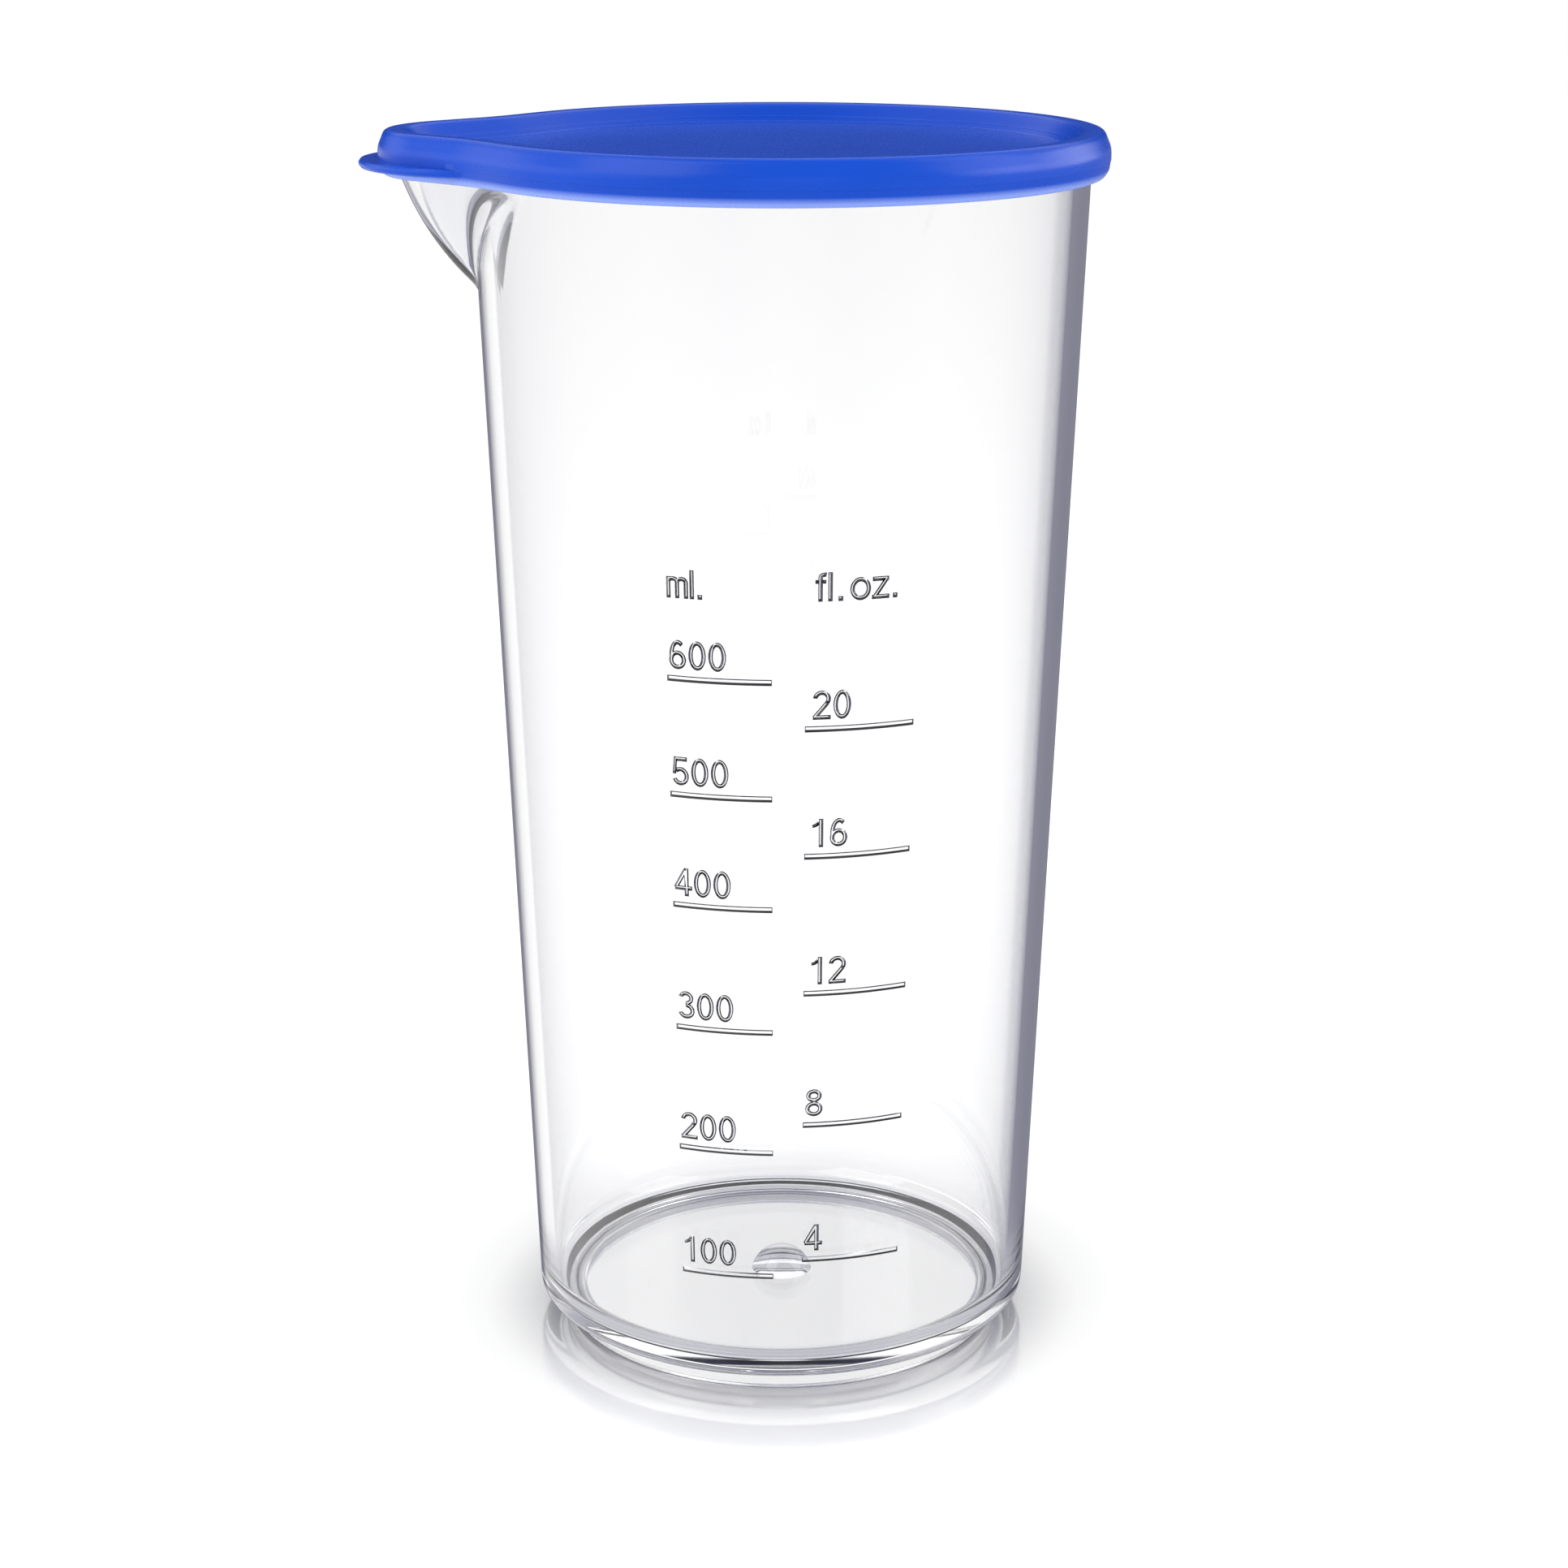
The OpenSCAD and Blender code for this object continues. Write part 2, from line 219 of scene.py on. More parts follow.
def make_piece(name, points, faces, materials, sharp_degrees, finish=()):
    """A smooth-shaded object from points in mm, sharp at corners and where materials meet.

    finish gives the material slot of the last faces; the others take the first material.
    """
    mesh = bpy.data.meshes.new(name)
    mesh.from_pydata([tuple(MM * c for c in p) for p in points], [], faces)
    for face, slot in zip(mesh.polygons[len(faces) - len(finish):], finish):
        face.material_index = slot
    bm = bmesh.new()
    bm.from_mesh(mesh)
    bmesh.ops.remove_doubles(bm, verts=bm.verts, dist=1e-7)
    bmesh.ops.dissolve_degenerate(bm, edges=bm.edges, dist=1e-8)
    bmesh.ops.recalc_face_normals(bm, faces=bm.faces)
    for face in bm.faces:
        face.smooth = True
    for edge in bm.edges:
        one_finish = len({face.material_index for face in edge.link_faces}) == 1
        edge.smooth = one_finish and edge.calc_face_angle(0) < math.radians(sharp_degrees)
    bm.to_mesh(mesh)
    open_edges = sum(1 for edge in bm.edges if not edge.is_manifold)
    print(name, "vertices", len(bm.verts), "faces", len(bm.faces), "open edges", open_edges)
    bm.free()
    for material in materials:
        mesh.materials.append(material)
    piece = bpy.data.objects.new(name, mesh)
    bpy.context.scene.collection.objects.link(piece)
    return piece


def true_wall_normals(mesh):
    """Gives the plain faces between the raised marks the normals of the round wall."""
    low, high = 9.5, 168     # above the foot's corner and below the spout
    near = 1e-5              # metres
    on_wall = [abs(math.hypot(v.co.x, v.co.y) - MM * wall_r(v.co.z / MM)) < near
               and low < v.co.z / MM < high and v.co.y < 0 for v in mesh.vertices]
    normals = [(0, 0, 0)] * len(mesh.loops)      # zero keeps the automatic normal
    for face in mesh.polygons:
        if all(on_wall[v] for v in face.vertices) and face.normal.z > -0.3:
            for i in face.loop_indices:
                point = mesh.vertices[mesh.loops[i].vertex_index].co
                normals[i] = Vector((point.x, point.y, -WALL_SLOPE * point.xy.length)).normalized()
    mesh.normals_split_custom_set(normals)


# ------------------------------------------------------------------ raised scale
UNDER_EDGE, SIDE_EDGE = 1, 2      # material slots of the scale's raised edges that are painted with shade
UNDER_RUN, SIDE_RUN = 0.45, -0.8  # an edge whose direction has more x than this takes that slot
LAYOUT_Z = 80            # height at which the flat layout of the scale is true to size
STROKE = 0.155           # these are shares of a figure's height
WIDTH = 0.60
PITCH = 0.68             # from one figure's left edge to the next
ONE_PITCH = 0.60         # the same after a 1


def bar(a, b, w=STROKE):
    """A straight stroke of width w."""
    a, b = np.array(a, float), np.array(b, float)
    side = (b - a) / np.linalg.norm(b - a) * w / 2
    side = np.array([-side[1], side[0]])
    return [a - side, b - side, b + side, a + side]


def bow(c, rx, ry, start, end, w=STROKE, steps=14):
    """Part of an oval ring; rx and ry are the radii of its middle line."""
    t = np.radians(np.linspace(start, end, steps + 1))
    outer = [(c[0] + (rx + w / 2) * math.cos(u), c[1] + (ry + w / 2) * math.sin(u)) for u in t]
    inner = [(c[0] + (rx - w / 2) * math.cos(u), c[1] + (ry - w / 2) * math.sin(u)) for u in t]
    return outer + inner[::-1]


def figure(name):
    """Strokes of a figure 1 high, foot on y = 0 and left edge on x = 0."""
    half = STROKE / 2
    mid = WIDTH / 2
    r = mid - half
    strokes = {
        "0": [bow((mid, 0.5), r, 0.5 - half, 0, 180), bow((mid, 0.5), r, 0.5 - half, 180, 360)],
        "1": [bar((0.305, 0), (0.305, 1)), bow((0.02, 1.0), 0.24, 0.25, -92, -25, 0.12, 8)],
        "2": [bow((mid, 0.71), r, 0.29 - half, -38, 175),
              bar((0.07, 0.09), (mid + 0.18, 0.575)), bar((0, half), (WIDTH, half))],
        "3": [bow((mid - 0.01, 0.745), r - 0.03, 0.255 - half, -95, 165),
              bow((mid, 0.285), r, 0.285 - half, -165, 95)],
        "4": [bar((0.03, 0.29), (0.40, 0.96)), bar((0, 0.29), (0.62, 0.29)),
              bar((0.42, 0), (0.42, 1))],
        "5": [bow((mid, 0.325), r, 0.325 - half, -160, 135), bar((0.085, 0.40), (0.14, 1), 0.13),
              bar((0.08, 1 - half), (0.54, 1 - half))],
        "6": [bow((mid, 0.32), r, 0.32 - half, 0, 180), bow((mid, 0.32), r, 0.32 - half, 180, 360),
              bow((mid + 0.015, 0.5), r, 0.5 - half, 50, 190)],
        "8": [bow((mid, cy), rx, ry - half, s, s + 180)
              for cy, rx, ry in ((0.275, r, 0.275), (0.76, r - 0.03, 0.24)) for s in (0, 180)],
        "m": [bar((half, 0), (half, 0.74)), bar((0.39, 0), (0.39, 0.56)),
              bar((0.78 - half, 0), (0.78 - half, 0.56)),
              bow((0.234, 0.56), 0.156, 0.19 - half, 0, 180),
              bow((0.546, 0.56), 0.156, 0.19 - half, 0, 180)],
        "l": [bar((half, 0), (half, 1))],
        ".": [bar((0, 0.085), (0.17, 0.085), 0.17)],
        "f": [bar((0.1 + half, 0), (0.1 + half, 0.84)), bow((0.335, 0.82), 0.16, 0.18 - half, 75, 180),
              bar((0, 0.68), (0.37, 0.68), 0.13)],
        "o": [bow((0.36, 0.39), 0.36 - half, 0.40 - half, s, s + 180) for s in (0, 180)],
        "z": [bar((0, half), (0.62, half)), bar((0.02, 0.77 - half), (0.6, 0.77 - half)),
              bar((0.09, 0.07), (0.53, 0.70))],
    }
    return strokes[name]


def row_of_figures(names, places, height, angle, z):
    """Outlines of a row of figures as (degrees, height) points on the wall."""
    degrees = math.degrees(1 / wall_r(z))
    outlines = []
    for name, place in zip(names, places):
        for stroke in figure(name):
            outlines.append([(angle + (place + x) * height * degrees, z + y * height)
                             for x, y in stroke])
    return outlines


def number(value, angle, z):
    """Outlines of a whole number standing on height z, its left edge at angle."""
    text = str(value)
    places = [sum(ONE_PITCH if c == "1" else PITCH for c in text[:i]) for i in range(len(text))]
    return row_of_figures(text, places, FIGURE_H, angle, z)


def line_outline(ends, z):
    """Outline of a graduation line between two angles."""
    steps = 16
    xs = np.linspace(ends[0], ends[1], steps + 1)
    return [(x, z - LINE_H / 2) for x in xs] + [(x, z + LINE_H / 2) for x in xs[::-1]]


def scale_outlines():
    """Outlines of all the marks; the two columns start just inside the ends of their lines."""
    ml_start = ML_LINE[0] + 0.5
    oz_start = OZ_LINE[0] + 1.5
    outlines = []
    for value, z in ML_MARKS.items():
        outlines.append(line_outline(ML_LINE, z))
        outlines += number(value, ml_start, z + FIGURE_UP)
    for value, z in OZ_MARKS.items():
        outlines.append(line_outline(OZ_LINE, z))
        one_figure_shift = 0 if value >= 10 else -1.0
        outlines += number(value, oz_start + one_figure_shift, z + FIGURE_UP)
    outlines += row_of_figures("ml.", [0, 0.83, 1.1], UNIT_H, ml_start - 0.2, UNIT_Z)
    outlines += row_of_figures("fl.oz.", [0, 0.435, 0.78, 1.18, 1.935, 2.68], UNIT_H,
                               oz_start + 0.3, UNIT_Z)
    return outlines


def slant_of(inward, x):
    """How far the top of a raised side leans in from its foot."""
    across = (LEAN_OUT if inward.x * x < 0 else LEAN_IN) * inward.x ** 2
    return across + (LEAN_LOW if inward.y > 0 else LEAN_HIGH) * inward.y ** 2


def lean_of(sides, x):
    """How a corner's top moves in from its foot, given the inward directions of its sides."""
    slants = [slant_of(inward, x) for inward in sides]
    turn = sides[0].cross(sides[1]) if len(sides) == 2 else 0
    if abs(turn) > CORNER_TURN:
        shift = Vector((slants[0] * sides[1].y - slants[1] * sides[0].y,
                        slants[1] * sides[0].x - slants[0] * sides[1].x)) / turn
    else:
        middle = sum(sides, Vector((0, 0))).normalized()
        shift = middle * sum(slants) / len(slants) / max(0.6, middle.dot(sides[0]))
    return shift * min(1, LONGEST_LEAN / shift.length)


def wall_point(point, per_degree, out=0):
    """The place on the round wall of a point of the flat layout, or out mm in front of it."""
    r = wall_r(point.y) + out
    a = math.radians(point.x / per_degree)
    return r * math.sin(a), -r * math.cos(a), point.y


def scale_patch(angles, heights):
    """The front of the wall between the given grid lines, with the scale standing out of it.

    It is laid out flat first. angles are in degrees. Returns points and faces in 3-D and each
    face's material slot.
    """
    per_degree = math.radians(1) * wall_r(LAYOUT_Z)
    flat = [Vector((a * per_degree, z)) for a in angles for z in heights]
    loops = []
    for outline in scale_outlines():
        first = len(flat)
        flat += [Vector((a * per_degree, z)) for a, z in outline]
        loops.append(list(range(first, len(flat))))
    verts, _, tris, _, _, owners = delaunay_2d_cdt(flat, [], loops, 0, 1e-5, True)

    # the rim is made of the sides of raised triangles that no other raised triangle shares
    raised = [bool(owner) for owner in owners]
    sides = [side for tri, up in zip(tris, raised) if up for side in zip(tri, tri[1:] + tri[:1])]
    all_sides = set(sides)
    rim = [(a, b) for a, b in sides if (b, a) not in all_sides]
    lean = {}
    for a, b in rim:
        run = (verts[b] - verts[a]).normalized()
        inward = Vector((-run.y, run.x))
        for v in (a, b):
            lean.setdefault(v, []).append(inward)

    points = [wall_point(v, per_degree) for v in verts]
    top = {}
    for v in dict.fromkeys(v for tri, up in zip(tris, raised) if up for v in tri):
        top_point = verts[v] + lean_of(lean[v], verts[v].x) if v in lean else verts[v]
        top[v] = len(points)
        points.append(wall_point(top_point, per_degree, RAISE))
    faces = [tuple(top[v] for v in tri) if up else tuple(tri) for tri, up in zip(tris, raised)]
    finish = [0] * len(faces)
    # painted shade: sides that face down take the black slot and most that face sideways the
    # near-black one; sides that face up stay clear
    for a, b in rim:
        run = (verts[b] - verts[a]).normalized()
        faces.append((a, b, top[b], top[a]))
        finish.append(UNDER_EDGE if run.x > UNDER_RUN else SIDE_EDGE if run.x > SIDE_RUN else 0)
    return points, faces, finish


# ------------------------------------------------------------------ beaker
def arc_points(cx, cz, r, start, end, steps):
    """Points of an arc, angles in degrees."""
    t = np.radians(np.linspace(start, end, steps + 1))
    return [(cx + r * math.cos(u), cz + r * math.sin(u)) for u in t]


def dome_rings(radius, height, base_z, steps=10):
    """Radii and heights of a ball cap from its edge to just short of its top."""
    ball = (radius ** 2 + height ** 2) / (2 * height)
    span = math.asin(radius / ball)
    rings = []
    for i in range(steps):
        a = span * (1 - i / steps)
        rings.append((ball * math.sin(a), base_z + height - ball * (1 - math.cos(a))))
    return rings


def foot_rings(theta):
    """From the middle of the floor's underside out over the foot ring and up to the wall."""
    foot_in = FOOT_R - FOOT_W
    corner_z = FOOT_H + CORNER_R
    bevel = 0.4              # between the hollow and the foot ring
    section = [(r, FOOT_HOLLOW) for r in (2, 8, 16, 24, foot_in - bevel)]
    section += [(foot_in, FOOT_HOLLOW - bevel), (foot_in, FOOT_EDGE)]
    section += arc_points(foot_in + FOOT_EDGE, FOOT_EDGE, FOOT_EDGE, 180, 270, 3)
    section += arc_points(FOOT_R - FOOT_EDGE, FOOT_EDGE, FOOT_EDGE, 270, 360, 3)
    section += [(FOOT_R, FOOT_H - FOOT_BEND)]
    section += arc_points(FOOT_R + FOOT_BEND, FOOT_H - FOOT_BEND, FOOT_BEND, 180, 90, 4)
    section += arc_points(wall_r(corner_z) - CORNER_R, corner_z, CORNER_R, -90, 0, 10)
    return [ring_points(r, z, theta) for r, z in section]


def rim_rings(theta, psi):
    """The bead, which is lower at the spout, and the outer half of the rounded rim."""
    at_spout = smooth_step(1.4 - np.abs(psi) / 0.5)   # 1 within 0.2 rad of it, 0 beyond 0.7
    bead = BEAD * (1 - BEAD_DIP * at_spout)
    round_z = BEAKER_TOP - RIM_ROUND
    section = [(bead * share, BEAKER_TOP - BEAD_H - BEAD + up)
               for share, up in ((0.35, 0.5), (0.8, 1.0), (1.0, 1.5))]
    section.append((bead, round_z))
    for a in np.radians([18, 36, 54, 72, 90]):
        section.append((bead - RIM_ROUND * (1 - math.cos(a)), round_z + RIM_ROUND * math.sin(a)))
    return [ring_points(wall_with_spout(psi, z, 0, 0) + out, z, theta) for out, z in section]


def inside_rings(theta, psi):
    """The inner half of the rim, the inside, the fillet, the floor and its dome."""
    rings = []
    inner_top = wall_with_spout(psi, BEAKER_TOP, SPOUT_T, WALL_T)
    for a in np.radians([90, 72, 54, 36, 18, 0]):
        z = BEAKER_TOP - RIM_ROUND + RIM_ROUND * math.sin(a)
        rings.append(ring_points(inner_top + RIM_ROUND * (1 - math.cos(a)), z, theta))
    spout_rows = list(np.linspace(BEAKER_TOP - 2 * RIM_ROUND, SPOUT_ROWS_FROM, 32))
    for z in spout_rows + [162, 150, 130, 110, 90, 70, 50, 30, 18]:
        rings.append(ring_points(wall_with_spout(psi, z, SPOUT_T, WALL_T), z, theta))
    fillet_z = FLOOR_Z + FILLET
    fillet_r = wall_r(fillet_z) - WALL_T - FLOOR_R
    section = [(FLOOR_R + fillet_r * math.sin(a), fillet_z - FILLET * math.cos(a))
               for a in np.radians(range(90, -1, -9))]
    section += [(r, FLOOR_Z) for r in (26, 18, 11, DOME_R + 0.8)]
    section += dome_rings(DOME_R, DOME_H, FLOOR_Z)
    return rings + [ring_points(r, z, theta) for r, z in section]


def make_beaker(materials):
    theta = columns()
    psi = from_spout(theta)
    count = len(theta)
    wall_rows = [10, 14, 18] + [22 + 4 * i for i in range(30)] + [146, 154, 162, 167]
    wall_rows += list(np.linspace(SPOUT_ROWS_FROM, BEAKER_TOP - BEAD_H - BEAD, 30))
    rings = foot_rings(theta)
    first_wall_ring = len(rings)
    rings += [ring_points(wall_with_spout(psi, z, 0, 0), z, theta) for z in wall_rows]
    rings += rim_rings(theta, psi) + inside_rings(theta, psi)
    points = list(np.concatenate(rings))
    faces = skin_faces(len(rings), count)

    # the front of the wall gives way to the patch that carries the scale
    low, high = (wall_rows.index(z) for z in PATCH_ROWS)
    degrees = np.degrees(theta)
    front = [i for i in range(count) if PATCH_COLUMNS[0] < degrees[i] < PATCH_COLUMNS[1]]
    cut = {(first_wall_ring + j) * count + i for j in range(low, high) for i in front[:-1]}
    faces = [face for face in faces if face[0] not in cut]
    patch_points, patch_faces, finish = scale_patch(degrees[front], wall_rows[low:high + 1])
    patch_faces = [tuple(v + len(points) for v in face) for face in patch_faces]
    points += patch_points

    close_ends(points, faces, len(rings), count, FOOT_HOLLOW, FLOOR_Z + DOME_H)
    beaker = make_piece("beaker_shell", points, faces + patch_faces, materials, 38, finish)
    true_wall_normals(beaker.data)
    return beaker


# ------------------------------------------------------------------ lid
def lid_reach(psi, inset):
    """Radius of the lid's outline, moved inwards by inset."""
    reach = spout_reach(psi, SPOUT_CENTRE, LID_TIP_R - inset)
    return smooth_max(LID_R - inset, reach, LID_BLEND)


def rounded(points, rounds):
    """A polyline with each inner corner replaced by a quadratic bend of the given size."""
    out = [points[0]]
    for (a, b, c), size in zip(zip(points, points[1:], points[2:]), rounds):
        a, b, c = np.array(a), np.array(b), np.array(c)
        p = b + (a - b) * min(0.5, size / np.linalg.norm(a - b))
        q = b + (c - b) * min(0.5, size / np.linalg.norm(c - b))
        for t in np.linspace(0, 1, 6):
            out.append(tuple((1 - t) ** 2 * p + 2 * t * (1 - t) * b + t * t * q))
    out.append(points[-1])
    return out


def lid_rings(section, theta, psi):
    """Rings along the lid's outline from (inset, height) points."""
    return [ring_points(lid_reach(psi, inset), z, theta) for inset, z in section]


def lid_disc(shares, inset, z, theta, psi):
    """Rings of a flat face, at shares of the way from the axis to its edge."""
    return [ring_points(share * lid_reach(psi, inset), z, theta) for share in shares]


def tab_rings(theta, psi):
    """The low band of the skirt: plain where there is no tab, out round it and back elsewhere."""
    top = LID_BOTTOM + TAB_UP
    under = np.maximum(TAB_R ** 2 - (SPOUT_CENTRE * np.sin(psi)) ** 2, 0)
    tab_circle = np.where(np.abs(psi) < math.pi / 2,
                          SPOUT_CENTRE * np.cos(psi) + np.sqrt(under), 0)
    out = np.maximum(tab_circle - lid_reach(psi, 0.1), 0)
    on = smooth_step(out / 0.6)
    # shares of the way out and of the tab's thickness down
    band = [(0.12, 0.02), (0.30, 0.0), (0.55, 0.0), (0.9, 0.0), (1.0, 0.35), (1.0, 0.65),
            (0.9, 1.0), (0.5, 1.0), (0.1, 1.0)]
    rings = []
    for j, (share, down) in enumerate(band):
        t = (j + 1) / (len(band) + 1)
        plain_z = top + 0.3 - (TAB_T + 0.5) * t
        z = (1 - on) * plain_z + on * (top - TAB_T * down)
        rings.append(ring_points(lid_reach(psi, 0.02 + 0.25 * t) + share * out * on, z, theta))
    return rings


def make_lid(materials):
    theta = columns()
    psi = from_spout(theta)
    crest = LID_TOP
    panel = crest - CREST_DROP
    lip = LID_BOTTOM
    plug = LID_R - (wall_r(BEAKER_TOP) - WALL_T - PLUG_GAP)
    inside = LID_R - (wall_r(BEAKER_TOP) + BEAD + BEAD_GAP)
    channel = BEAKER_TOP + 0.3
    plug_low = BEAKER_TOP - 2.3
    shares = (0.08, 0.3, 0.55, 0.8)

    # panel, recess wall, crest and the bead's outer side
    rings = lid_disc(shares, plug + 1.2, panel, theta, psi)
    outer = [(plug + 1.2, panel), (plug + 0.55, panel), (4.7, crest - 0.7), (4.0, crest - 0.05),
             (2.6, crest), (1.1, crest - 0.05), (0.5, crest - 1.5), (0.0, crest - 2.7),
             (0.0, crest - 4.4)]
    rings += lid_rings(rounded(outer, (0.25, 0.5, 0.6, 0.8, 0.9, 0.8, 0.8)), theta, psi)
    rings += tab_rings(theta, psi)
    # lip, the inside of the skirt, the channel over the rim, the plug and under the panel
    inner = [(0.35, lip + 0.95), (0.8, lip + 0.2), (1.2, lip), (inside, lip),
             (inside, lip + 1.7), (inside - 0.15, lip + 2.2), (inside - 0.15, channel),
             (plug, channel), (plug, plug_low), (plug + 1.1, plug_low),
             (plug + 1.1, panel - PANEL_T), (plug + 2.4, panel - PANEL_T)]
    rings += lid_rings(rounded(inner, (0.3, 0.3, 0.2, 0.3, 0.3, 0.4, 0.4, 0.3, 0.3, 0.2)),
                       theta, psi)
    rings += lid_disc(shares[::-1], plug + 2.4, panel - PANEL_T, theta, psi)

    points = list(np.concatenate(rings))
    faces = skin_faces(len(rings), len(theta))
    close_ends(points, faces, len(rings), len(theta), panel, panel - PANEL_T)
    return make_piece("lid_shell", points, faces, materials, 50)


# ------------------------------------------------------------------ shader helpers
def new_material(name):
    material = bpy.data.materials.new(name)
    material.use_nodes = True
    nodes, links = material.node_tree.nodes, material.node_tree.links
    return material, nodes, links, nodes["Principled BSDF"]


def set_input(links, socket, value):
    """Fills a socket from another node's output or with a fixed value."""
    if isinstance(value, bpy.types.NodeSocket):
        links.new(value, socket)
    else:
        socket.default_value = value


def combine(nodes, links, operation, a, b):
    """The output of a math node; a and b are outputs or numbers."""
    node = nodes.new("ShaderNodeMath")
    node.operation = operation
    set_input(links, node.inputs[0], a)
    set_input(links, node.inputs[1], b)
    return node.outputs["Value"]


def map_range(nodes, links, value, ends, low=0.0, high=1.0, smooth=False):
    """An output that goes from low to high as value goes from one end to the other."""
    node = nodes.new("ShaderNodeMapRange")
    node.interpolation_type = "SMOOTHSTEP" if smooth else "LINEAR"
    for name, limit in zip(("From Min", "From Max", "To Min", "To Max"), (*ends, low, high)):
        node.inputs[name].default_value = limit
    links.new(value, node.inputs["Value"])
    return node.outputs["Result"]


def noise(nodes, links, place, scale, detail):
    texture = nodes.new("ShaderNodeTexNoise")
    texture.inputs["Scale"].default_value = scale
    texture.inputs["Detail"].default_value = detail
    links.new(place.outputs["Object"], texture.inputs["Vector"])
    return texture.outputs["Fac"]


def blend_colours(nodes, links, factor, a, b):
    """The output of a node that goes from a to b; each is an output or a fixed colour."""
    mix = nodes.new("ShaderNodeMix")
    mix.data_type = "RGBA"
    links.new(factor, mix.inputs["Factor"])
    set_input(links, mix.inputs["A"], a)
    set_input(links, mix.inputs["B"], b)
    return mix.outputs["Result"]


def blend_shaders(nodes, links, factor, a, b):
    mix = nodes.new("ShaderNodeMixShader")
    links.new(factor, mix.inputs["Fac"])
    links.new(a, mix.inputs[1])
    links.new(b, mix.inputs[2])
    return mix.outputs["Shader"]


def happened(nodes, links, depth):
    """An output that is 1 where the light path has the named kind of bounce, else 0."""
    path = nodes.new("ShaderNodeLightPath")
    return combine(nodes, links, "MINIMUM", path.outputs[depth], 1.0)


# ------------------------------------------------------------------ materials
CLEAR = (0.965, 0.965, 0.968, 1)
# painted shade: the scale's raised sides that face down and outwards take a black tint, standing in
# for the dark outlines that bent light gives them
UNDER_EDGE_PAINTED_SHADE = (0, 0, 0, 1)
SIDE_EDGE_PAINTED_SHADE = (0.004, 0.004, 0.008, 1)
SOFT_SHADOW = (0.91, 0.91, 0.905, 1)      # what the clear plastic lets through to the floor
BLUES = ((0.001, 0.052, 0.45, 1), (0.002, 0.060, 0.50, 1))
LIP_PAINTED_GLOW = (0.22, 0.32, 0.80, 1)
FLOOR_WHITE = (0.98, 0.98, 0.98, 1)
CONTACT_SHADE = (0.12, 0.12, 0.155, 1)


def clear_plastic(name, tint_and_painted_shade):
    """Polished clear moulding with faint flow marks; it lets soft light through to the floor. Given a
    black tint, it is the painted shade on the scale's raised sides.
    """
    material, nodes, links, shader = new_material(name)
    shader.inputs["IOR"].default_value = 1.57
    shader.inputs["Transmission Weight"].default_value = 1.0
    shader.inputs["Specular IOR Level"].default_value = 0.5
    shader.inputs["Base Color"].default_value = tint_and_painted_shade

    place = nodes.new("ShaderNodeTexCoord")
    flow = noise(nodes, links, place, 60, 2)
    gloss = map_range(nodes, links, flow, (0, 1), 0.0, 0.035)
    links.new(gloss, shader.inputs["Roughness"])

    path = nodes.new("ShaderNodeLightPath")
    clear = nodes.new("ShaderNodeBsdfTransparent")
    clear.inputs["Color"].default_value = SOFT_SHADOW
    surface = shader.outputs["BSDF"]
    for ray in ("Is Diffuse Ray", "Is Shadow Ray"):
        surface = blend_shaders(nodes, links, path.outputs[ray], surface, clear.outputs["BSDF"])
    links.new(surface, nodes["Material Output"].inputs["Surface"])
    return material


def blue_plastic():
    """Satin plastic with a fine grain; its thin lower lip is painted paler, a painted glow of light
    through the thin edge.
    """
    material, nodes, links, shader = new_material("blue_plastic")
    shader.inputs["Specular IOR Level"].default_value = 0.22
    shader.inputs["IOR"].default_value = 1.51

    place = nodes.new("ShaderNodeTexCoord")
    split = nodes.new("ShaderNodeSeparateXYZ")
    links.new(place.outputs["Object"], split.inputs["Vector"])
    # painted light: the colour grows paler towards the lower lip, as light shining through the thin
    # edge would make it
    lip = map_range(nodes, links, split.outputs["Z"],
                    ((LID_BOTTOM + 0.5) * MM, (LID_BOTTOM + 1.5) * MM), 1.0, 0.0)
    shade = nodes.new("ShaderNodeValToRGB")
    for element, position, blue in zip(shade.color_ramp.elements, (0.3, 0.7), BLUES):
        element.position = position
        element.color = blue
    links.new(noise(nodes, links, place, 35, 3), shade.inputs["Fac"])
    colour = blend_colours(nodes, links, lip, shade.outputs["Color"], LIP_PAINTED_GLOW)
    links.new(colour, shader.inputs["Base Color"])

    grain = noise(nodes, links, place, 2500, 4)
    links.new(map_range(nodes, links, grain, (0, 1), 0.24, 0.30), shader.inputs["Roughness"])
    bump = nodes.new("ShaderNodeBump")
    bump.inputs["Strength"].default_value = 0.01
    bump.inputs["Distance"].default_value = 0.0001
    links.new(grain, bump.inputs["Height"])
    links.new(bump.outputs["Normal"], shader.inputs["Normal"])
    return material


